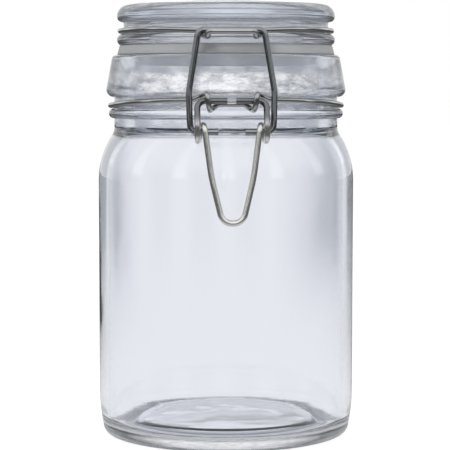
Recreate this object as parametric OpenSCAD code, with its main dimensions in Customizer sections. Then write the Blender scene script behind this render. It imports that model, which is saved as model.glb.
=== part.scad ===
// Lidded glass canister with a wire clip closure. Units are millimetres.
// The jar stands on the base plane, its axis is Z and the closure faces -Y.

/* [Jar] */
// Outer radius of the body
body_r = 40; // [34:0.5:60]
// Height of the straight body, from the base to the start of the shoulder
body_h = 80; // [60:1:160]
// Radius of the rounded heel
heel_r = 3; // [2:0.25:8]
// How far the heel is drawn in from the body
heel_in = 1.1; // [0.4:0.1:2]
// Height over which the body draws in to the heel
lead_h = 14; // [9:0.5:20]
// Rounding between wall and floor inside
floor_r = 6.5; // [4:0.5:9]
// Wall of the body
wall = 3.1; // [2.4:0.1:4.5]
// Glass in the middle of the floor
floor_t = 2.8; // [2.5:0.1:6]
// Height of the push-up under the base
punt_h = 3.4; // [1:0.1:4]
// How far the flat of the push-up is set in from the foot ring
punt_in = 6.2; // [3:0.2:12]
// Width of the foot ring the jar stands on
foot_w = 4; // [2:0.25:6]
// How far the neck is set in from the body
neck_step = 5; // [4:0.25:7]
// Radius of the rounded shoulder
shoulder_r = 25.6; // [20:0.2:32]
// Radius of the hollow between shoulder and neck
neck_fillet = 5; // [3:0.25:7]
// Height of the neck from the shoulder hollow to the rim
neck_h = 22.2; // [21.5:0.1:26]
// Radius of the bead below the neck groove
bead_r = 1.5; // [1:0.05:1.55]
// Height of that bead above the shoulder hollow
bead_up = 4.05; // [3.8:0.05:4.4]
// Radius of the underside of the collar
collar_r = 2.4; // [1.6:0.1:2.5]
// Height of the widest line of the collar above the bead
collar_up = 7.5; // [7:0.1:8]
// How far the collar stands out from the neck at its widest
collar_out = 2.5; // [1.5:0.1:2.6]
// How far the collar tapers in towards the rim
collar_taper = 1.75; // [0.8:0.05:2.2]
// Rounding of the rim
rim_r = 1.3; // [0.6:0.1:1.8]
// Glass between the mouth and the neck
mouth_wall = 5.7; // [4:0.1:7]

/* [Lid] */
// How far the lid is set in from the neck
lid_step = 0.9; // [0.5:0.1:2]
// Height of the lid above the gasket
lid_h = 13.85; // [12:0.05:17]
// Crown of the top of the lid
lid_crown = 1.2; // [0.4:0.1:1.6]
// Rounding of the top edge of the lid
lid_top_r = 3.7; // [2:0.1:3.8]
// Radius of the bead below the lid groove
lid_bead_r = 1.75; // [1.2:0.05:1.8]
// Depth of the groove in the lid
lid_groove = 2.1; // [1.5:0.1:2.4]
// Height of the upper bead of the lid above the gasket
shelf_up = 7.3; // [7:0.1:7.8]
// Depth of the plug below the gasket
plug_h = 1.6; // [1:0.1:2]
// Glass at the thin middle of the lid
lid_glass = 6; // [4:0.1:7]
// Width of the plug ring
plug_w = 3.6; // [2.4:0.1:5]

/* [Gasket] */
// Thickness of the rubber ring
gasket_t = 3; // [2:0.1:3.4]
// How far the gasket flares towards its lower edge
gasket_flare = 0.65; // [0:0.05:0.8]

/* [Wire] */
// Wire of both rings
ring_d = 1.6; // [1.4:0.05:1.7]
// Wire of the bail
bail_d = 1.9; // [1.5:0.05:2]
// Wire of the lever
lever_d = 1.8; // [1.5:0.05:1.9]
// Mean diameter of the front eyelets of the neck ring
eyelet_d = 4.8; // [4.4:0.05:5]
// Spacing of the front eyelets
eyelet_gap = 14; // [13:0.25:15.5]
// Mean diameter of the lever eyes
eye_d = 4.7; // [4.4:0.05:5]
// Crank length from the lever axis to the bail axis
crank = 9.1; // [8.5:0.1:10]
// Gap between the ends of the lever wire
lever_gap = 2.7; // [1.5:0.1:5]
// Spacing of the lever arms
arm_gap = 20.4; // [20:0.2:21.5]
// Length of the lever below the bail axis
lever_len = 26.6; // [20:0.2:34]
// How far the lever tip stands off further than its eyes
lever_out = 3.4; // [2.5:0.1:8]
// Width of the lever half way down
knee_w = 12.4; // [11:0.2:14]
// Width of the lever tip between its bends
tip_w = 6; // [4:0.25:10]
// Length of the bail top bar between its bends
bar_w = 19.5; // [18.5:0.25:21]
// Widest spacing of the bail legs
bail_w = 25.3; // [25:0.1:29]
// Gap between the ends of the bail wire
bail_gap = 8; // [6:0.25:11]
// Height of the bail bar above the gasket
bar_up = 3.95; // [3.6:0.05:4.4]
// Height of the neck ring above the neck bead
neck_ring_up = 2.25; // [2.2:0.05:2.4]
// How far the neck ring rises towards its eyelets
front_rise = 2.35; // [2:0.05:2.6]
// Height of the lid ring above the gasket
lid_ring_up = 4.5; // [4.3:0.05:4.7]
// Lever axis below the rim
pivot_down = 13.9; // [13.6:0.1:14.2]
// Rear hinge axis out from the neck
hinge_back = 5.6; // [5.4:0.1:6.2]
// Rear hinge axis below the rim
hinge_down = 5; // [4.8:0.1:5.4]
// Spacing of the rear hinge eyes
hinge_gap = 13; // [12:0.25:16]
// Mean diameter of the rear hinge eyes
hinge_eye_d = 4.4; // [4:0.05:4.6]

/* [Clearances] */
// Rubber above the rim
rim_clear = 0.02; // [0.02:0.01:0.1]
// Plug to mouth, all round
mouth_clear = 1.2; // [1:0.05:1.8]
// Bail bar over the catch of the lid ring
catch_clear = 0.15; // [0.1:0.05:0.4]
// Bail bar to the front span of the catch
lip_clear = 3.1; // [3:0.05:3.5]
// Eyelets to the glass
eyelet_clear = 0.6; // [0.4:0.05:1]

/* [Hidden] */
neck_r = body_r - neck_step;
foot_x = body_r - heel_in - heel_r;
lead_r = (pow(lead_h - heel_r, 2) + heel_in * heel_in) / (2 * heel_in);
// hollow between shoulder and neck
sh_x = body_r - shoulder_r;
nf_x = neck_r + neck_fillet;
nf_z = body_h + sqrt(pow(shoulder_r + neck_fillet, 2) - pow(nf_x - sh_x, 2));
sn = (nf_x - sh_x) / (shoulder_r + neck_fillet);
join_x = sh_x + shoulder_r * sn;
join_z = body_h + shoulder_r * (nf_z - body_h) / (shoulder_r + neck_fillet);
rim_z = nf_z + neck_h;
bead_z = nf_z + bead_up;
ring_z = bead_z + neck_ring_up;
collar_z = bead_z + collar_up;
collar_top_r = neck_r + collar_out - collar_taper;
mouth_r = neck_r - mouth_wall;
seal_z = rim_z + rim_clear;
gasket_r = neck_r - lid_step - 0.1;
plug_r = mouth_r - mouth_clear;
lid_r = neck_r - lid_step;
lid_z = seal_z + gasket_t;
lid_bead_z = lid_z + lid_bead_r - 0.05;
lid_ring_z = lid_z + lid_ring_up;
lid_top = lid_z + lid_h;
shelf_z = lid_z + shelf_up;
lug_r = 1.6;
edge_z = lid_top - lid_crown;
// the top edge rounds no further than the upper bead allows
corner_r = min(lid_top_r, edge_z - shelf_z - lug_r);
top_x = lid_r - corner_r;
top_z = edge_z - corner_r;
dome_r = (top_x * top_x + lid_crown * lid_crown) / (2 * lid_crown);
neck_ring_r = neck_r + 1.2;
lid_ring_r = lid_r - lid_groove + ring_d / 2 + 0.3;
// closure axes, seen from the side
py = -(neck_r + ring_d / 2 + eyelet_d / 2 + eyelet_clear);
pz = rim_z - pivot_down;
bz = pz - crank;
by = py - 0.5;
ty = -(lid_r + 1.9);
tz = lid_z + bar_up;
ex = eyelet_gap / 2;
er = eyelet_d / 2;
cz = pz - 0.35;
// rear hinge axis
hy = neck_r + hinge_back;
hz = rim_z - hinge_down;
hx = hinge_gap / 2;
hr = hinge_eye_d / 2;
big = 1000;
// straight runs reach this far into the bends, which are this much thicker
lap = 0.08;
swell = 0.02;
glass_fn = 48;
wire_fn = 16;

function unit(v) = v / norm(v);
function mir(p) = [for (i = [len(p) - 1:-1:0]) [-p[i][0], p[i][1], p[i][2]]];
function rev(p) = [for (i = [len(p) - 1:-1:0]) p[i]];
function turn(a, b, c) = acos(max(-1, min(1, unit(b - a) * unit(c - b))));
function cut(a, b, c, r) = min(r * tan(turn(a, b, c) / 2), norm(b - a) / 2 - lap, norm(c - b) / 2 - lap);

// straight run of wire from a to b
module run(a, b, d) {
    w = unit(b - a);
    u = unit(cross(abs(w[2]) < 0.9 ? [0, 0, 1] : [1, 0, 0], w));
    v = cross(w, u);
    multmatrix([[u[0], v[0], w[0], a[0]], [u[1], v[1], w[1], a[1]], [u[2], v[2], w[2], a[2]]])
        cylinder(d = d, h = norm(b - a), $fn = wire_fn);
}

// round bend at b, coming from a and going on to c
module bend(a, b, c, r, d) {
    phi = turn(a, b, c);
    t = cut(a, b, c, r);
    rr = t / tan(phi / 2);
    e2 = unit(b - a);
    f = unit(c - b);
    s = b - t * e2;
    e1 = -unit(f - (f * e2) * e2);
    m = s - rr * e1;
    e3 = cross(e1, e2);
    multmatrix([[e1[0], e2[0], e3[0], m[0]], [e1[1], e2[1], e3[1], m[1]], [e1[2], e2[2], e3[2], m[2]]])
        rotate_extrude(angle = phi, $fn = rr > 12 ? 72 : 28)
            translate([rr, 0]) circle(d = d, $fn = wire_fn);
}

// wire through the points p, with bend radius r[i] at point i
module bent_wire(p, r, d) {
    n = len(p);
    t = [for (i = [0:n - 1]) i == 0 || i == n - 1 ? 0 : cut(p[i - 1], p[i], p[i + 1], r[i])];
    union() {
        for (i = [0:n - 2]) {
            w = unit(p[i + 1] - p[i]);
            run(p[i] + (i > 0 ? t[i] - lap : 0) * w, p[i + 1] - (i < n - 2 ? t[i + 1] - lap : 0) * w, d);
        }
        for (i = [1:n - 2]) bend(p[i - 1], p[i], p[i + 1], r[i], d + swell);
    }
}

// points round a circle of radius r, from azimuth a to b in n steps; 0 is the front
function ring_pts(r, a, b, n, z0, dz) =
    [for (i = [0:n]) let (q = a + (b - a) * i / n, s = r / cos((b - a) / n / 2))
        [s * sin(q), -s * cos(q), z0 + dz * max(0, cos(q))]];

module jar_shape() {
    difference() {
        union() {
            square([foot_x, heel_r + 1]);
            intersection() {
                translate([foot_x, heel_r]) circle(r = heel_r, $fn = 32);
                square([body_r, heel_r + 0.01]);
            }
            intersection() {
                translate([body_r - lead_r, lead_h]) circle(r = lead_r, $fn = 360);
                translate([0, heel_r]) square([body_r, lead_h - heel_r + 0.01]);
            }
            translate([0, lead_h]) square([body_r, body_h - lead_h]);
            // shoulder
            intersection() {
                translate([sh_x, body_h]) circle(r = shoulder_r, $fn = 96);
                translate([0, body_h - 0.01]) square([body_r, join_z - body_h + 0.01]);
            }
            difference() {
                translate([0, join_z - 1]) polygon([[0, 0], [join_x - 0.5, 0], [join_x, 1], [neck_r, nf_z - join_z + 1], [0, nf_z - join_z + 1]]);
                translate([nf_x, nf_z]) circle(r = neck_fillet, $fn = 48);
            }
            translate([0, nf_z - 0.01]) square([neck_r, collar_z - nf_z + 0.01]);
            translate([neck_r + 1.72 - bead_r, bead_z]) circle(r = bead_r, $fn = 24);
            // collar
            translate([neck_r + collar_out - collar_r, collar_z]) circle(r = collar_r, $fn = 32);
            translate([0, collar_z]) polygon([[0, 0], [neck_r + collar_out, 0], [collar_top_r, rim_z - rim_r - collar_z], [0, rim_z - rim_r - collar_z]]);
            translate([0, rim_z - rim_r - 0.01]) square([collar_top_r - rim_r, rim_r + 0.01]);
            intersection() {
                translate([collar_top_r - rim_r, rim_z - rim_r]) circle(r = rim_r, $fn = 24);
                translate([0, rim_z - rim_r - 0.01]) square([collar_top_r, rim_r + 0.1]);
            }
        }
        // inside
        translate([0, punt_h + floor_t]) square([body_r - floor_r - wall, body_h]);
        translate([0, punt_h + floor_t + floor_r]) square([body_r - wall, body_h - punt_h - floor_t - floor_r]);
        translate([body_r - wall - floor_r, punt_h + floor_t + floor_r]) circle(r = floor_r, $fn = 28);
        intersection() {
            translate([sh_x, body_h]) circle(r = shoulder_r - wall, $fn = 72);
            translate([0, body_h - 0.01]) square([body_r, shoulder_r]);
        }
        translate([0, body_h]) square([mouth_r, rim_z - body_h + 1]);
        translate([mouth_r - 0.01, rim_z + 0.01]) difference() {
            translate([0, -rim_r]) square([rim_r, rim_r + 0.1]);
            translate([rim_r, -rim_r]) circle(r = rim_r, $fn = 24);
        }
        // push-up under the base
        polygon([[-1, -1], [foot_x - foot_w + 0.6, -1], [foot_x - foot_w, 0], [foot_x - foot_w - punt_in * 0.75, punt_h * 0.9], [foot_x - foot_w - punt_in, punt_h], [-1, punt_h]]);
        translate([-10, -1]) square([10, rim_z + 10]);
    }
}

module jar() {
    color([0.80, 0.86, 0.88, 0.45]) rotate_extrude($fn = glass_fn) jar_shape();
}

module lid_shape() {
    difference() {
        union() {
            translate([0, lid_z]) square([lid_r - lid_groove, top_z - lid_z]);
            translate([0, lid_z]) square([lid_r - lid_bead_r, lid_bead_r * 2 - 0.1]);
            intersection() {
                translate([lid_r + 0.05 - lid_bead_r, lid_bead_z]) circle(r = lid_bead_r, $fn = 24);
                translate([0, lid_z]) square([lid_r + 1, lid_bead_r * 3]);
            }
            translate([0, shelf_z + lug_r]) square([lid_r, top_z - shelf_z - lug_r + 0.01]);
            translate([0, shelf_z]) square([lid_r - lug_r, lug_r + 0.01]);
            intersection() {
                translate([lid_r - lug_r, shelf_z + lug_r]) circle(r = lug_r, $fn = 24);
                translate([0, shelf_z]) square([lid_r, lug_r]);
            }
            intersection() {
                translate([top_x, top_z]) circle(r = corner_r, $fn = 28);
                translate([0, top_z]) square([lid_r, corner_r]);
            }
            translate([0, top_z - 0.01]) square([top_x, corner_r + 0.01]);
            // crown
            intersection() {
                translate([0, lid_top - dome_r]) circle(r = dome_r, $fn = 720);
                translate([0, edge_z - 0.01]) square([top_x, lid_crown + 1]);
            }
            translate([0, seal_z - plug_h]) square([plug_r, lid_z - seal_z + plug_h + 0.01]);
        }
        translate([-1, seal_z - plug_h - 1]) square([plug_r - plug_w + 1, lid_top - lid_glass - seal_z + plug_h + 1]);
        translate([-10, 0]) square([10, lid_top + 10]);
    }
}

module lid() {
    color([0.80, 0.86, 0.88, 0.45]) rotate_extrude($fn = glass_fn) lid_shape();
}

module gasket() {
    color([0.66, 0.66, 0.66]) rotate_extrude($fn = glass_fn)
        polygon([[plug_r, seal_z], [gasket_r, seal_z], [gasket_r - gasket_flare, lid_z], [plug_r, lid_z]]);
}

// neck ring: span and eyelets at the front, hinge stubs at the back
neck_pts = concat(
    [[ex - 3.2, py + 2.2, cz - 0.65],
     [ex - ring_d / 2, py + er, cz - er],
     [ex - ring_d * 0.2, py - er, cz - er],
     [ex + ring_d * 0.2, py - er, cz + er],
     [ex + ring_d * 0.35, py + 0.9, cz + er - 0.1],
     [ex + eyelet_d - 0.4, -(neck_ring_r - 1.5), ring_z + front_rise - 0.1]],
    ring_pts(neck_ring_r, 36.9, 127.7, 4, ring_z, front_rise),
    [[hx + 2.5 + ring_d, hy - 1.8, ring_z],
     [hx + 2.5 + ring_d, hy, hz],
     [hx - 2.9, hy, hz]]);
neck_bend = [2, 1.7, er, er, 1.4, 4, big, big, big, big, big, 3, 1.8, 1];

module neck_ring() {
    color([0.62, 0.64, 0.65]) {
        bent_wire(concat(mir(neck_pts), neck_pts), concat(rev(neck_bend), neck_bend), ring_d);
    }
}

// lid ring: catch for the bail at the front, hinge eyes at the back
lip_y = ty - (bail_d + ring_d) / 2 - lip_clear;
dip_z = tz - (bail_d + ring_d) / 2 - catch_clear;
lid_pts = concat(
    [[ex - 0.1, lip_y, tz - 0.5],
     [ex, lip_y + 1.4, dip_z - 0.12],
     [ex + 0.7, ty + 1.15, dip_z + 0.1],
     [ex + 2.4, -(lid_r - 0.5), lid_ring_z - 0.65]],
    ring_pts(lid_ring_r, 44.1, 130.9, 4, lid_ring_z, 0),
    [[hx, hy - 3.6, lid_ring_z - 0.2],
     [hx, hy - hr, hz - hr],
     [hx - ring_d * 0.35, hy + hr, hz - hr],
     [hx - ring_d * 0.75, hy + hr, hz + hr],
     [hx - ring_d * 1.1, hy - hr + 0.6, hz + hr]]);
lid_bend = [1.1, 1.3, 1.5, 3, big, big, big, big, big, 2.4, hr, hr, hr, 1];

module lid_ring() {
    color([0.62, 0.64, 0.65]) {
        bent_wire(concat(mir(lid_pts), lid_pts), concat(rev(lid_bend), lid_bend), ring_d);
    }
}

// lever: pivot stubs, arms, eyes for the bail and the V for the finger
ax = arm_gap / 2;
re = eye_d / 2;
ez = bz - 0.35;
vx = ax - lever_d - 0.15;
tip_z = bz - lever_len;
tip_y = by - re - lever_out;
function vee(z) = (by - re) + (tip_y - by + re) * (ez + re - z) / (ez + re - tip_z);
lever_pts = [
    [lever_gap / 2, py, pz],
    [ax, py, pz],
    [ax, by - re, ez + re],
    [ax, by - re, ez - re],
    [ax - lever_d * 0.2, by + re, ez - re],
    [ax - lever_d * 0.75, by + re, ez + re],
    [vx, by - re, ez + re],
    [knee_w / 2, vee(tip_z + lever_len / 2), tip_z + lever_len / 2],
    [tip_w / 2, tip_y, tip_z]];
lever_bend = [1, 2.4, 3, re, re, re, re, 60, 3.5];

module lever() {
    color([0.70, 0.72, 0.72]) {
        bent_wire(concat(lever_pts, mir(lever_pts)), concat(lever_bend, rev(lever_bend)), lever_d);
    }
}

// bail: bar over the catch, legs, and stubs through the eyes of the lever
function by_at(z) = by + (ty - by) * (z - bz) / (tz - bz);
bail_pts = [
    [bar_w / 2, ty, tz],
    [bail_w / 2, by_at(bz + 11.5), bz + 11.5],
    [bail_w / 2 - 0.25, by_at(bz + 3.5), bz + 3.5],
    [bail_w / 2 - 0.6, by, bz],
    [bail_gap / 2, by, bz]];
bail_bend = [2, 9, 7, 1.9, 1];

module bail() {
    color([0.55, 0.57, 0.58]) {
        bent_wire(concat(mir(bail_pts), bail_pts), concat(rev(bail_bend), bail_bend), bail_d);
    }
}

// each drawn only when it is wanted
jar();
neck_ring();
lid();
gasket();
lid_ring();
lever();
bail();
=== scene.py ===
"""Dresses the clip-top glass canister: glass, rubber seal and bright wire."""
import math

import bmesh
import bpy
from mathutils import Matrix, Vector


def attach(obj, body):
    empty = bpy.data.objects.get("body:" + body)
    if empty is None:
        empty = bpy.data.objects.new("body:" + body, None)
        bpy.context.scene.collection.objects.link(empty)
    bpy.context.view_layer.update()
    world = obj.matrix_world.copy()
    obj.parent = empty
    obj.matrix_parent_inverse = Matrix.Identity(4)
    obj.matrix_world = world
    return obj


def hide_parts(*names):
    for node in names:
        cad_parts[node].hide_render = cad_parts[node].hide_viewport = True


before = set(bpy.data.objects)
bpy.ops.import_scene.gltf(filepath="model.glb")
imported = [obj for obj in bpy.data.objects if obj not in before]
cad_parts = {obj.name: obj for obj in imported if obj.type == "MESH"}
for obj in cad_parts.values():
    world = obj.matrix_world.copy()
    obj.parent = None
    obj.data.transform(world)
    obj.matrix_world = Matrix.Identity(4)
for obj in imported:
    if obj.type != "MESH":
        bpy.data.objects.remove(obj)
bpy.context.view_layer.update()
MM = 0.001
WHITE = (1, 1, 1, 1)

# the light of the air, the floor's own, and what glass shows of a white studio
AIR_LIGHT, FLOOR_GLOW, THROUGH = 0.62, 0.86, 0.94
COOL_GREY = (0.80, 0.89, 1, 1)
# grey sectors round the studio, and the share of light they keep
SECTORS, SECTOR_DIM = 8.0, 0.62
# the floor's paint to the eye, to far mirrors and to all other light
FLOOR_PAINT, DIM_PAINT, BOUNCE_PAINT = 0.25, 0.08, 0.9

# each smooth ramp is (from, to, value at the first, value at the second)
# on the floor, by distance from the jar's axis in metres
SHADOW_PATCH = (0.012, 0.026, 0.78, 0.36)
PATCH_EDGE = (0.0265, 0.031, 0.0, 1.0)
SECTORS_BEGIN = (0.18, 0.9, 0.0, 1.0)
MIRRORED_FLOOR = (0.05, 0.3, 0.55, 0.04)
# in the air, by how far a direction points back or up
MIRRORED_BACKDROP = (0.15, 0.8, 0.05, 0.8)
MIRRORED_CEILING = (0.12, 0.6, 0.0, 0.9)
STRIPS_BEGIN = (0.04, 0.15, 0.0, 1.0)
SEEN_CEILING = (0.15, 0.7, THROUGH, 0.4)
# round the studio, by the wave that makes the sectors
SECTOR_EDGES = (-0.6, 0.7, SECTOR_DIM, 1.0)
MIRRORED_STRIPS = (0.3, 0.95, 0.0, 1.5)
# how much of the glass's milk shows, from square-on to edge-on: the milk is frosted glass, and
# thinning it edge-on paints a pale face-on patch, a painted reflection
MILK_FACING_PAINTED_REFLECTION = (0.10, 0.50, 1.0, 0.25)

# the camera's distance and height in metres, its turn and tilt in degrees, and its lens
CAMERA_FAR, CAMERA_UP, CAMERA_TURN, CAMERA_TILT = 0.5986, 0.1112, -2.6, -4.364
CAMERA_LENS, CAMERA_FRAME, CAMERA_SHIFT = 152.0, 36, -0.002

GLASS_TINT = (0.965, 0.965, 0.99, 1)
GLASS_DEPTH = (0.45, 0.60, 0.78, 1)
SEAL_DARK = (0.305, 0.31, 0.325, 1)
SEAL_PALE = (0.37, 0.373, 0.385, 1)
# the seal's lip, painted near white as painted light
SEAL_LIP_PAINTED_LIGHT = (0.97, 0.97, 0.97, 1)
RING_WIRE = (0.44, 0.45, 0.45, 1)
LEVER_WIRE = (0.78, 0.78, 0.74, 1)
# the lever's arms, painted darker than its V as painted shade
LEVER_ARMS_PAINTED_SHADE = (0.20, 0.205, 0.21, 1)
# the bail is the same bright wire as the lever, painted darker as painted shade for the dark room
# it reflects
BAIL_WIRE_PAINTED_DARK = (0.27, 0.285, 0.30, 1)

# noise values between which milky glass goes from its least share to all of it
MOTTLE_FROM, MOTTLE_TO = 0.36, 0.66
# the least and most roughness of wire, as shares of its own
WIRE_BRIGHT, WIRE_WORN = 0.85, 1.2
WIRE_WEAR = dict(scale=(900, 900, 260), detail=4.0)
WIRE_SKIN = dict(scale=(900, 900, 200), detail=2.0, strength=0.03, distance=0.0001)
SEAL_CLOUD = dict(scale=(300, 300, 900), detail=5.0)
SEAL_SKIN = dict(scale=(6000, 6000, 6000), detail=3.0, strength=0.2, distance=0.0001)

# sizes shared with the solids, in millimetres
BODY_R, BODY_H, WALL, SHOULDER_R = 40.0, 80.0, 3.1, 25.6
HEEL_R, HEEL_IN, LEAD_H, FOOT_W, FOOT_EASE, FOOT_LIFT = 3.0, 1.1, 14.0, 4.0, 0.3, 0.01
FLOOR_T, PUNT_H, PUNT_IN, PUNT_BEND = 2.8, 3.4, 6.2, (0.75, 0.9)
NECK_R, NECK_FILLET, NECK_H = 35.0, 5.0, 22.2
BEAD_R, BEAD_UP, BEAD_OUT = 1.5, 4.05, 1.72
COLLAR_R, COLLAR_OUT, COLLAR_UP, COLLAR_TAPER = 2.4, 2.5, 7.5, 1.75
RIM_R, RIM_GAP, MOUTH_R = 1.3, 0.02, 29.3
LID_STEP, LID_R, LID_H, LID_CROWN, LID_TOP_R = 0.9, 34.1, 13.85, 1.2, 3.7
LID_GLASS, HOLLOW_R = 6.0, 3.0
LID_BEAD_R, LID_BEAD_SINK, LID_GROOVE, GROOVE_EASE = 1.75, 0.05, 2.1, 0.3
LUG_R, SHELF_UP, PLUG_R, PLUG_H, PLUG_W, PLUG_EASE = 1.6, 7.3, 28.1, 1.6, 3.6, 0.6
SEAL_T, SEAL_FLARE, SEAL_IN, SEAL_EASE = 3.0, 0.65, 0.1, 0.35
# the seal's lip in the mouth, which the solids don't have
LIP_GAP, LIP_H, LIP_TAPER, LIP_EASE, LIP_FADE = 0.25, 4.2, 0.3, 0.3, 0.4
# the mound and valley of the jar's inner floor, which the solids don't have
VALLEY_UP, VALLEY_R, MOUND_R, MOUND_STEEP = 0.6, 4.0, 4.0, 32

# the short stretch at each end of a straight run, in millimetres, and its greatest share
GUARD, GUARD_SHARE = 0.25, 0.33


# ---------- materials ----------

def material(name):
    mat = bpy.data.materials.new(name)
    mat.use_nodes = True
    nodes = mat.node_tree.nodes
    nodes.clear()
    return mat, nodes, mat.node_tree.links


def add(nodes, kind, **values):
    node = nodes.new(kind)
    for key, value in values.items():
        if key in node.inputs:
            node.inputs[key].default_value = value
        else:
            setattr(node, key, value)
    return node


def placed(nodes, links, scale):
    place = add(nodes, "ShaderNodeTexCoord")
    fit = add(nodes, "ShaderNodeMapping")
    fit.inputs["Scale"].default_value = scale
    links.new(place.outputs["Object"], fit.inputs["Vector"])
    return fit.outputs["Vector"]


def maths(nodes, links, kind, first, second):
    """One Math node; each input is a socket or a number."""
    node = add(nodes, "ShaderNodeMath", operation=kind)
    for spot, value in zip(node.inputs, (first, second)):
        if isinstance(value, (int, float)):
            spot.default_value = value
        else:
            links.new(value, spot)
    return node.outputs[0]


def smooth_range(nodes, links, value, low, high, start, end):
    step = add(nodes, "ShaderNodeMapRange", interpolation_type="SMOOTHSTEP")
    for key, number in (("From Min", low), ("From Max", high), ("To Min", start), ("To Max", end)):
        step.inputs[key].default_value = number
    links.new(value, step.inputs["Value"])
    return step.outputs[0]


def height_of(nodes, links):
    split = add(nodes, "ShaderNodeSeparateXYZ")
    links.new(placed(nodes, links, (1, 1, 1)), split.inputs[0])
    return split.outputs["Z"]


def cloud(nodes, links, scale, detail, rough=0.5):
    noise = add(nodes, "ShaderNodeTexNoise", Scale=1.0, Detail=detail, Roughness=rough)
    links.new(placed(nodes, links, scale), noise.inputs["Vector"])
    return noise.outputs["Fac"]


def in_band(nodes, links, low, high, soft, top=1.0, past=0.0):
    """Zero below a band of heights in millimetres, top in it and past above it, with soft edges."""
    low, high, soft = low * MM, high * MM, soft * MM
    place = height_of(nodes, links)
    return maths(nodes, links, "MULTIPLY",
                 smooth_range(nodes, links, place, low - soft, low, 0.0, 1.0),
                 smooth_range(nodes, links, place, high, high + soft, top, past))


def ripple(nodes, links, under, scale, detail, strength, distance, band=None):
    """A bumpy skin over the one under it; a band keeps it between two heights."""
    bump = add(nodes, "ShaderNodeBump", Strength=strength, Distance=distance)
    relief = cloud(nodes, links, scale, detail)
    if band:
        relief = maths(nodes, links, "MULTIPLY", relief, in_band(nodes, links, *band))
    links.new(relief, bump.inputs["Height"])
    if under:
        links.new(under, bump.inputs["Normal"])
    return bump.outputs["Normal"]


def milky(nodes, links, haze, patches):
    """How much of the glass is pale and scattering: haze all over, more in mottled patches, all of
    it thinned edge-on so that the pale face-on part is a painted reflection.

    Each patch has a band of heights, a radius it lies outside of, a share at its
    palest, the evenness of its mottle and the grain of it.
    """
    pale = haze
    for patch in patches:
        reach = add(nodes, "ShaderNodeVectorMath", operation="LENGTH")
        links.new(placed(nodes, links, (1, 1, 0)), reach.inputs[0])
        outside = patch["outside"] * MM
        share = smooth_range(nodes, links, reach.outputs["Value"],
                             outside - MM, outside, 0.0, patch["share"])
        share = maths(nodes, links, "MULTIPLY", in_band(nodes, links, *patch["band"]), share)
        grains = cloud(nodes, links, patch["grain"], detail=5.0, rough=0.7)
        mottle = smooth_range(nodes, links, grains, MOTTLE_FROM, MOTTLE_TO, patch["even"], 1.0)
        pale = maths(nodes, links, "MAXIMUM", maths(nodes, links, "MULTIPLY", share, mottle), pale)
    # painted reflection: the milk thins edge-on, so the glass is palest where it faces the eye
    facing = add(nodes, "ShaderNodeLayerWeight", Blend=0.5).outputs["Facing"]
    return maths(nodes, links, "MULTIPLY", smooth_range(nodes, links, facing, *MILK_FACING_PAINTED_REFLECTION), pale)


def clear_glass(name, density, rough, skins, frost=None, milk=(), haze=0.0):
    """Clear glass that darkens with depth; frost blurs a band of heights."""
    mat, nodes, links = material(name)
    out = add(nodes, "ShaderNodeOutputMaterial")
    skin = add(nodes, "ShaderNodeBsdfPrincipled", Roughness=rough, IOR=1.5)
    skin.inputs["Base Color"].default_value = GLASS_TINT
    depth = add(nodes, "ShaderNodeVolumeAbsorption", Density=density)
    depth.inputs["Color"].default_value = GLASS_DEPTH
    if frost:
        blur = in_band(nodes, links, *frost["band"], top=frost["rough"], past=rough)
        links.new(maths(nodes, links, "MAXIMUM", blur, rough), skin.inputs["Roughness"])
    clear = maths(nodes, links, "SUBTRACT", 1.0, milky(nodes, links, haze, milk))
    links.new(clear, skin.inputs["Transmission Weight"])
    normal = None
    for layer in skins:
        normal = ripple(nodes, links, normal, **layer)
    links.new(normal, skin.inputs["Normal"])
    links.new(skin.outputs[0], out.inputs["Surface"])
    links.new(depth.outputs[0], out.inputs["Volume"])
    return mat


def blend(nodes, links, share, first, second):
    """A mix of two colours; each is a socket or a colour."""
    mix = add(nodes, "ShaderNodeMix", data_type="RGBA")
    links.new(share, mix.inputs["Factor"])
    for key, value in (("A", first), ("B", second)):
        if isinstance(value, tuple):
            mix.inputs[key].default_value = value
        else:
            links.new(value, mix.inputs[key])
    return mix.outputs["Result"]


def drawn_wire(name, colour, rough, painted_shade=None):
    """Bright drawn wire; where a painted shade is given, the colour higher up is painted darker, as
    painted shade for the dark room the wire reflects there.
    """
    mat, nodes, links = material(name)
    out = add(nodes, "ShaderNodeOutputMaterial")
    skin = add(nodes, "ShaderNodeBsdfPrincipled", Metallic=1.0)
    skin.inputs["Base Color"].default_value = colour
    # painted shade: above a given height the wire's colour is blended to a darker one
    if painted_shade:
        share = smooth_range(nodes, links, height_of(nodes, links),
                             painted_shade["low"] * MM, painted_shade["high"] * MM, 0.0, 1.0)
        links.new(blend(nodes, links, share, colour, painted_shade["colour"]), skin.inputs["Base Color"])
    spread = add(nodes, "ShaderNodeMapRange")
    spread.inputs["To Min"].default_value = rough * WIRE_BRIGHT
    spread.inputs["To Max"].default_value = rough * WIRE_WORN
    links.new(cloud(nodes, links, **WIRE_WEAR), spread.inputs["Value"])
    links.new(spread.outputs[0], skin.inputs["Roughness"])
    links.new(ripple(nodes, links, None, **WIRE_SKIN), skin.inputs["Normal"])
    links.new(skin.outputs[0], out.inputs["Surface"])
    return mat


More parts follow.
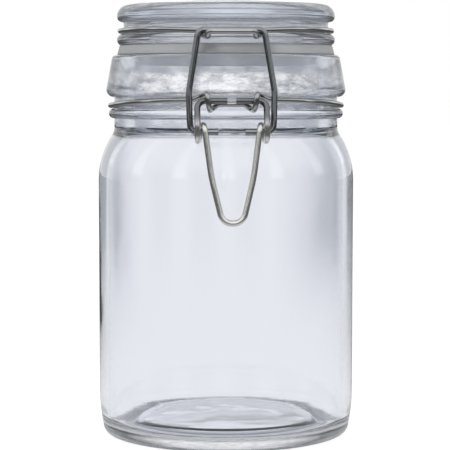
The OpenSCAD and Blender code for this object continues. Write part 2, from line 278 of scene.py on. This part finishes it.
def seal_rubber():
    mat, nodes, links = material("seal_rubber_grey")
    out = add(nodes, "ShaderNodeOutputMaterial")
    skin = add(nodes, "ShaderNodeBsdfPrincipled", Roughness=0.62)
    tone = blend(nodes, links, cloud(nodes, links, **SEAL_CLOUD), SEAL_DARK, SEAL_PALE)
    # painted light: the thin lip is painted near white, for the light that would come through it
    # and make it paler
    lip_painted_light = smooth_range(nodes, links, height_of(nodes, links),
                        (seal_z - LIP_FADE) * MM, seal_z * MM, 1.0, 0.0)
    links.new(blend(nodes, links, lip_painted_light, tone, SEAL_LIP_PAINTED_LIGHT), skin.inputs["Base Color"])
    links.new(ripple(nodes, links, None, **SEAL_SKIN), skin.inputs["Normal"])
    links.new(skin.outputs[0], out.inputs["Surface"])
    return mat


# ---------- turned pieces ----------

def draw(bm, start, moves, turn_step):
    """Draws a profile from one vertex, in millimetres as (radius, height).

    A move of two numbers runs straight to that point. A move of three swings
    round a centre (radius, height) by so many degrees, outwards to upwards.
    """
    tip = bm.verts.new((start[0] * MM, 0, start[1] * MM))
    for move in moves:
        if len(move) == 3:
            steps = max(2, math.ceil(abs(move[2]) / turn_step))
            made = bmesh.ops.spin(bm, geom=[tip], cent=(move[0] * MM, 0, move[1] * MM),
                                  axis=(0, -1, 0), angle=math.radians(move[2]), steps=steps)
            tip = made["geom_last"][0]
            continue
        end = Vector((move[0] * MM, 0, move[1] * MM))
        run = end - tip.co
        # a short stretch at each end keeps the shading of the long one straight
        guard = min(GUARD * MM / run.length, GUARD_SHARE)
        for share in (guard, 1 - guard, 1):
            place = end - run * (1 - share)
            tip = bmesh.ops.extrude_vert_indiv(bm, verts=[tip])["verts"][0]
            tip.co = place


def turned(name, start, moves, mat, closed=False, turn_step=6, sides=256):
    """Spins a profile round the jar's axis into one closed piece."""
    bm = bmesh.new()
    draw(bm, start, moves, turn_step)
    bm.verts.ensure_lookup_table()
    if closed:
        bm.edges.new((bm.verts[-1], bm.verts[0]))
    bmesh.ops.spin(bm, geom=bm.verts[:] + bm.edges[:], cent=(0, 0, 0), axis=(0, 0, 1),
                   angle=2 * math.pi, steps=sides, use_merge=True)
    return finished(name, bm, mat)


def finished(name, bm, mat, merge=1e-7, crease=40):
    """Shades the piece smooth, except over edges sharper than the crease in degrees."""
    bmesh.ops.remove_doubles(bm, verts=bm.verts, dist=merge)
    bmesh.ops.recalc_face_normals(bm, faces=bm.faces)
    for face in bm.faces:
        face.smooth = True
    for edge in bm.edges:
        edge.smooth = edge.is_manifold and edge.calc_face_angle(0) < math.radians(crease)
    mesh = bpy.data.meshes.new(name)
    bm.to_mesh(mesh)
    bm.free()
    mesh.materials.append(mat)
    obj = bpy.data.objects.new(name, mesh)
    bpy.context.scene.collection.objects.link(obj)
    return obj


def lean(x, r):
    """The angle up from the level, in degrees, at which a circle of radius r passes x."""
    return math.degrees(math.acos(x / r))


sh_x = BODY_R - SHOULDER_R
nf_x = NECK_R + NECK_FILLET
nf_z = BODY_H + math.sqrt((SHOULDER_R + NECK_FILLET) ** 2 - (nf_x - sh_x) ** 2)
rim_z = nf_z + NECK_H
bead_z = nf_z + BEAD_UP
collar_z = bead_z + COLLAR_UP
collar_top = NECK_R + COLLAR_OUT - COLLAR_TAPER
seal_z = rim_z + RIM_GAP
lid_z = seal_z + SEAL_T
lid_top = lid_z + LID_H
edge_z = lid_top - LID_CROWN
shelf_z = lid_z + SHELF_UP
foot_x = BODY_R - HEEL_IN - HEEL_R
lead_r = ((LEAD_H - HEEL_R) ** 2 + HEEL_IN ** 2) / (2 * HEEL_IN)


def jar():
    inner_r = BODY_R - WALL
    floor_z = PUNT_H + FLOOR_T
    bead_x = NECK_R + BEAD_OUT - BEAD_R
    collar_x = NECK_R + COLLAR_OUT - COLLAR_R
    bead_a = lean(NECK_R - bead_x, BEAD_R)
    collar_a = lean(NECK_R - collar_x, COLLAR_R)
    lead_a = math.degrees(math.asin((LEAD_H - HEEL_R) / lead_r))
    rise = 90 - lean(nf_z - BODY_H, SHOULDER_R + NECK_FILLET)
    mouth_a = lean(MOUTH_R - sh_x, SHOULDER_R - WALL)
    ring_in = foot_x - FOOT_W
    # inside, a valley runs round a mound over the push-up, with a straight slope between
    steep = math.radians(MOUND_STEEP)
    out, drop = math.sin(steep), 1 - math.cos(steep)
    valley_x, valley_z = inner_r - VALLEY_R, FLOOR_T + VALLEY_UP
    mound_z = floor_z - MOUND_R * drop
    slope_x = valley_x - VALLEY_R * out - (mound_z - valley_z - VALLEY_R * drop) / math.tan(steep)
    return (0, PUNT_H), [
        (ring_in - PUNT_IN, PUNT_H), (ring_in - PUNT_IN * PUNT_BEND[0], PUNT_H * PUNT_BEND[1]),
        (ring_in, FOOT_LIFT), (ring_in + FOOT_EASE, 0), (foot_x, 0),
        (foot_x, HEEL_R, 90), (BODY_R - lead_r, LEAD_H, lead_a), (BODY_R, BODY_H),
        (sh_x, BODY_H, rise), (nf_x, nf_z, -rise),
        (NECK_R, bead_z - math.sin(math.radians(bead_a)) * BEAD_R), (bead_x, bead_z, 2 * bead_a),
        (NECK_R, collar_z - math.sin(math.radians(collar_a)) * COLLAR_R),
        (collar_x, collar_z, collar_a),
        (collar_top, rim_z - RIM_R), (collar_top - RIM_R, rim_z - RIM_R, 90),
        (MOUTH_R + RIM_R, rim_z), (MOUTH_R + RIM_R, rim_z - RIM_R, 90),
        (MOUTH_R, BODY_H + math.sin(math.radians(mouth_a)) * (SHOULDER_R - WALL)),
        (sh_x, BODY_H, -mouth_a),
        (inner_r, valley_z + VALLEY_R), (valley_x, valley_z + VALLEY_R, -90 - MOUND_STEEP),
        (slope_x, mound_z), (slope_x - MOUND_R * out, floor_z - MOUND_R, MOUND_STEEP), (0, floor_z)]


def lid():
    groove_x = LID_R - LID_GROOVE
    top_x, top_z = LID_R - LID_TOP_R, edge_z - LID_TOP_R
    dome_r = (top_x ** 2 + LID_CROWN ** 2) / (2 * LID_CROWN)
    fall = math.degrees(math.asin(top_x / dome_r))
    bead_c = LID_R + LID_BEAD_SINK - LID_BEAD_R
    bead_zc = lid_z + LID_BEAD_R - LID_BEAD_SINK
    rise = lean(groove_x - bead_c, LID_BEAD_R)
    dip = math.degrees(math.asin((bead_zc - lid_z) / LID_BEAD_R))
    hollow_x, hollow_z = PLUG_R - PLUG_W, lid_top - LID_GLASS
    foot_z = seal_z - PLUG_H
    return (0, lid_top), [
        (0, lid_top - dome_r, -fall), (top_x, top_z, -90),
        (LID_R, shelf_z + LUG_R), (LID_R - LUG_R, shelf_z + LUG_R, -90),
        (groove_x + GROOVE_EASE, shelf_z), (groove_x, shelf_z - GROOVE_EASE),
        (groove_x, bead_zc + math.sin(math.radians(rise)) * LID_BEAD_R),
        (bead_c, bead_zc, -rise - dip),
        (PLUG_R, lid_z), (PLUG_R, foot_z + PLUG_EASE),
        (PLUG_R - PLUG_EASE, foot_z + PLUG_EASE, -90),
        (hollow_x + PLUG_EASE, foot_z), (hollow_x + PLUG_EASE, foot_z + PLUG_EASE, -90),
        (hollow_x, hollow_z - HOLLOW_R), (hollow_x - HOLLOW_R, hollow_z - HOLLOW_R, 90),
        (0, hollow_z)]


def seal():
    outer, lip, lip_z = NECK_R - LID_STEP - SEAL_IN, MOUTH_R - LIP_GAP, seal_z - LIP_H
    return (PLUG_R, lid_z), [
        (PLUG_R, lip_z), (lip - LIP_TAPER - LIP_EASE, lip_z), (lip - LIP_TAPER, lip_z + LIP_EASE),
        (lip, seal_z), (outer - SEAL_EASE, seal_z), (outer - SEAL_EASE, seal_z + SEAL_EASE, 90),
        (outer - SEAL_FLARE, lid_z - SEAL_EASE),
        (outer - SEAL_FLARE - SEAL_EASE, lid_z - SEAL_EASE, 90)]


# the mould leaves soft waves, fine rings, a rough collar and bead, and a stippled heel
JAR_SKINS = (
    dict(scale=(40, 40, 22), detail=2.0, strength=0.22, distance=0.001),
    dict(scale=(70, 70, 300), detail=3.0, strength=0.06, distance=0.0003),
    dict(scale=(150, 150, 330), detail=5.0, strength=0.20, distance=0.0006,
         band=(collar_z - 1.5, rim_z - 2.5, 1.5)),
    dict(scale=(220, 220, 420), detail=3.0, strength=0.20, distance=0.0004,
         band=(nf_z + 0.5, bead_z + 3, 1.0)),
    dict(scale=(1100, 1100, 700), detail=2.0, strength=0.38, distance=0.0003,
         band=(0.8, 2.8, 0.6)))
NECK_FROST = dict(band=(nf_z + 1, rim_z - 1.5, 1.5), rough=0.13)
GROOVE_MILK = dict(band=(bead_z + 4.2, rim_z - 6.5, 2.0), outside=33.5, share=0.78, even=0.22,
                   grain=(190, 190, 480))
HEEL_MILK = dict(band=(-1.0, 3.0, 1.4), outside=foot_x - FOOT_W, share=0.92, even=0.72,
                 grain=(240, 240, 1500))
LID_SKINS = (
    dict(scale=(40, 40, 60), detail=2.0, strength=0.12, distance=0.001),
    dict(scale=(30, 30, 900), detail=4.0, strength=0.16, distance=0.0003))

glass_mat = clear_glass("jar_glass_clear", density=14.0, rough=0.02, skins=JAR_SKINS,
                        frost=NECK_FROST, milk=(GROOVE_MILK, HEEL_MILK))
lid_mat = clear_glass("lid_glass_clear", density=8.0, rough=0.10, skins=LID_SKINS, haze=0.14)
jar_piece = turned("jar_glass_body", *jar(), glass_mat, turn_step=3)
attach(jar_piece, "jar")
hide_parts("jar")
lid_piece = turned("lid_glass_body", *lid(), lid_mat)
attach(lid_piece, "lid")
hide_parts("lid")
seal_piece = turned("seal_ring_rubber", *seal(), seal_rubber(), closed=True)
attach(seal_piece, "lid")
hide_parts("gasket")

ring_mat = drawn_wire("ring_wire_bright", RING_WIRE, rough=0.17)
# the lever's arms above its V are painted darker: painted shade for the dark room they reflect
lever_mat = drawn_wire("lever_wire_bright", LEVER_WIRE, rough=0.24,
                       painted_shade=dict(colour=LEVER_ARMS_PAINTED_SHADE, low=97, high=101))
# the bail's darker colour is painted shade, not a different wire
bail_mat = drawn_wire("bail_wire_bright", BAIL_WIRE_PAINTED_DARK, rough=0.15)
wires = (("neck_ring", ring_mat), ("lid_ring", ring_mat), ("lever", lever_mat), ("bail", bail_mat))
for node, mat in wires:
    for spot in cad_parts[node].material_slots:
        spot.material = mat


# ---------- studio ----------

def sectors(nodes, links, place):
    """Soft grey sectors round the studio, none of them on its four sides or corners."""
    split = add(nodes, "ShaderNodeSeparateXYZ")
    links.new(place, split.inputs[0])
    turn = maths(nodes, links, "ARCTAN2", split.outputs["Y"], split.outputs["X"])
    wave = maths(nodes, links, "COSINE", maths(nodes, links, "MULTIPLY", turn, SECTORS), 0)
    return split, smooth_range(nodes, links, wave, *SECTOR_EDGES), wave


def cooled(nodes, links, value):
    """White where the value is one, cooler as it falls."""
    return blend(nodes, links, value, COOL_GREY, WHITE)


def floor():
    bm = bmesh.new()
    bmesh.ops.create_grid(bm, x_segments=1, y_segments=1, size=4.0)
    mesh = bpy.data.meshes.new("studio_floor")
    bm.to_mesh(mesh)
    bm.free()
    mat, nodes, links = material("studio_floor_white")
    out = add(nodes, "ShaderNodeOutputMaterial")
    path = add(nodes, "ShaderNodeLightPath")
    place = add(nodes, "ShaderNodeTexCoord")
    reach = add(nodes, "ShaderNodeVectorMath", operation="LENGTH")
    links.new(place.outputs["Object"], reach.inputs[0])
    reach = reach.outputs["Value"]

    def paint(colour):
        return add(nodes, "ShaderNodeBsdfDiffuse", Color=(colour, colour, colour, 1)).outputs[0]

    def glow(strength):
        lit = add(nodes, "ShaderNodeEmission", Color=WHITE)
        if isinstance(strength, float):
            lit.inputs["Strength"].default_value = strength
        else:
            links.new(strength, lit.inputs["Strength"])
            links.new(cooled(nodes, links, strength), lit.inputs["Color"])
        return lit.outputs[0]

    def choose(share, first, second):
        mix = add(nodes, "ShaderNodeMixShader")
        links.new(share, mix.inputs[0])
        links.new(first, mix.inputs[1])
        links.new(second, mix.inputs[2])
        return mix.outputs[0]

    # straight on, the floor is white with the shadow in it
    white = add(nodes, "ShaderNodeAddShader")
    links.new(paint(FLOOR_PAINT), white.inputs[0])
    links.new(glow(FLOOR_GLOW), white.inputs[1])
    # wire mirrors a pale floor near the jar and a dim room further off
    mirrored = choose(smooth_range(nodes, links, reach, *MIRRORED_FLOOR),
                      paint(DIM_PAINT), white.outputs[0])
    # glass shows a shaded patch under the foot and pale floor round it
    foot = maths(nodes, links, "MAXIMUM", smooth_range(nodes, links, reach, *SHADOW_PATCH),
                 smooth_range(nodes, links, reach, *PATCH_EDGE))
    far = smooth_range(nodes, links, reach, *SECTORS_BEGIN)
    ring = sectors(nodes, links, place.outputs["Object"])[1]
    lost = maths(nodes, links, "MULTIPLY", far, maths(nodes, links, "SUBTRACT", 1.0, ring))
    kept = maths(nodes, links, "MULTIPLY", foot, maths(nodes, links, "SUBTRACT", 1.0, lost))
    shown = maths(nodes, links, "MULTIPLY", kept, THROUGH)
    look = choose(path.outputs["Is Glossy Ray"], paint(BOUNCE_PAINT), mirrored)
    look = choose(path.outputs["Is Transmission Ray"], look, glow(shown))
    look = choose(path.outputs["Is Camera Ray"], look, white.outputs[0])
    links.new(look, out.inputs["Surface"])
    mesh.materials.append(mat)
    obj = bpy.data.objects.new("studio_floor", mesh)
    bpy.context.scene.collection.objects.link(obj)


def surroundings():
    world = bpy.data.worlds.new("studio_air")
    world.use_nodes = True
    bpy.context.scene.world = world
    nodes, links = world.node_tree.nodes, world.node_tree.links
    nodes.clear()
    out = add(nodes, "ShaderNodeOutputWorld")
    place = add(nodes, "ShaderNodeTexCoord")
    path = add(nodes, "ShaderNodeLightPath")
    split, ring, wave = sectors(nodes, links, place.outputs["Generated"])
    # bright wire mirrors a dark room round the jar, a pale backdrop and a bright ceiling
    backdrop = smooth_range(nodes, links, split.outputs["Y"], *MIRRORED_BACKDROP)
    ceiling = smooth_range(nodes, links, split.outputs["Z"], *MIRRORED_CEILING)
    strips = maths(nodes, links, "MULTIPLY", smooth_range(nodes, links, wave, *MIRRORED_STRIPS),
                   smooth_range(nodes, links, split.outputs["Z"], *STRIPS_BEGIN))
    mirror = maths(nodes, links, "MAXIMUM", backdrop, strips)
    mirror = maths(nodes, links, "MAXIMUM", mirror, ceiling)
    # glass shows the pale backdrop, the grey sectors and a greyer ceiling
    above = smooth_range(nodes, links, split.outputs["Z"], *SEEN_CEILING)
    through = maths(nodes, links, "MULTIPLY", above, ring)

    def shade(value, cool=False):
        glow = add(nodes, "ShaderNodeBackground", Color=WHITE)
        if cool:
            links.new(cooled(nodes, links, value), glow.inputs["Color"])
        if isinstance(value, float):
            glow.inputs["Strength"].default_value = value
        else:
            links.new(value, glow.inputs["Strength"])
        return glow.outputs[0]

    result = shade(AIR_LIGHT)
    shown = (("Is Glossy Ray", mirror), ("Is Transmission Ray", through), ("Is Camera Ray", 1.0))
    for flag, value in shown:
        mix = add(nodes, "ShaderNodeMixShader")
        links.new(path.outputs[flag], mix.inputs[0])
        links.new(result, mix.inputs[1])
        links.new(shade(value, value is through), mix.inputs[2])
        result = mix.outputs[0]
    links.new(result, out.inputs["Surface"])


def lamp(name, place, aim, size, power):
    light = bpy.data.lights.new(name, "AREA")
    light.shape = "RECTANGLE"
    light.size, light.size_y = size
    light.energy = power
    obj = bpy.data.objects.new(name, light)
    way = Vector(aim) - Vector(place)
    obj.location = place
    obj.rotation_euler = way.to_track_quat("-Z", "Y").to_euler()
    obj.visible_glossy = obj.visible_transmission = False
    bpy.context.scene.collection.objects.link(obj)


def camera():
    turn, tilt = math.radians(CAMERA_TURN), math.radians(CAMERA_TILT)
    data = bpy.data.cameras.new("studio_camera")
    data.lens = CAMERA_LENS
    data.sensor_width = CAMERA_FRAME
    data.clip_start = 0.01
    data.clip_end = 50
    data.shift_x = CAMERA_SHIFT
    obj = bpy.data.objects.new("studio_camera", data)
    obj.location = (CAMERA_FAR * math.sin(turn), -CAMERA_FAR * math.cos(turn), CAMERA_UP)
    obj.rotation_euler = (math.pi / 2 + tilt, 0, turn)
    bpy.context.scene.collection.objects.link(obj)
    bpy.context.scene.camera = obj


floor()
surroundings()
lamp("key_panel", place=(-0.35, -0.55, 0.75), aim=(0, 0, 0.1), size=(0.35, 0.35), power=4.0)
lamp("fill_panel", place=(0.6, -0.25, 0.4), aim=(0, 0, 0.08), size=(0.25, 0.5), power=1.2)
lamp("back_panel", place=(0.1, 0.7, 0.6), aim=(0, 0, 0.08), size=(0.5, 0.3), power=2.0)
camera()
bpy.context.scene.view_settings.view_transform = "Standard"
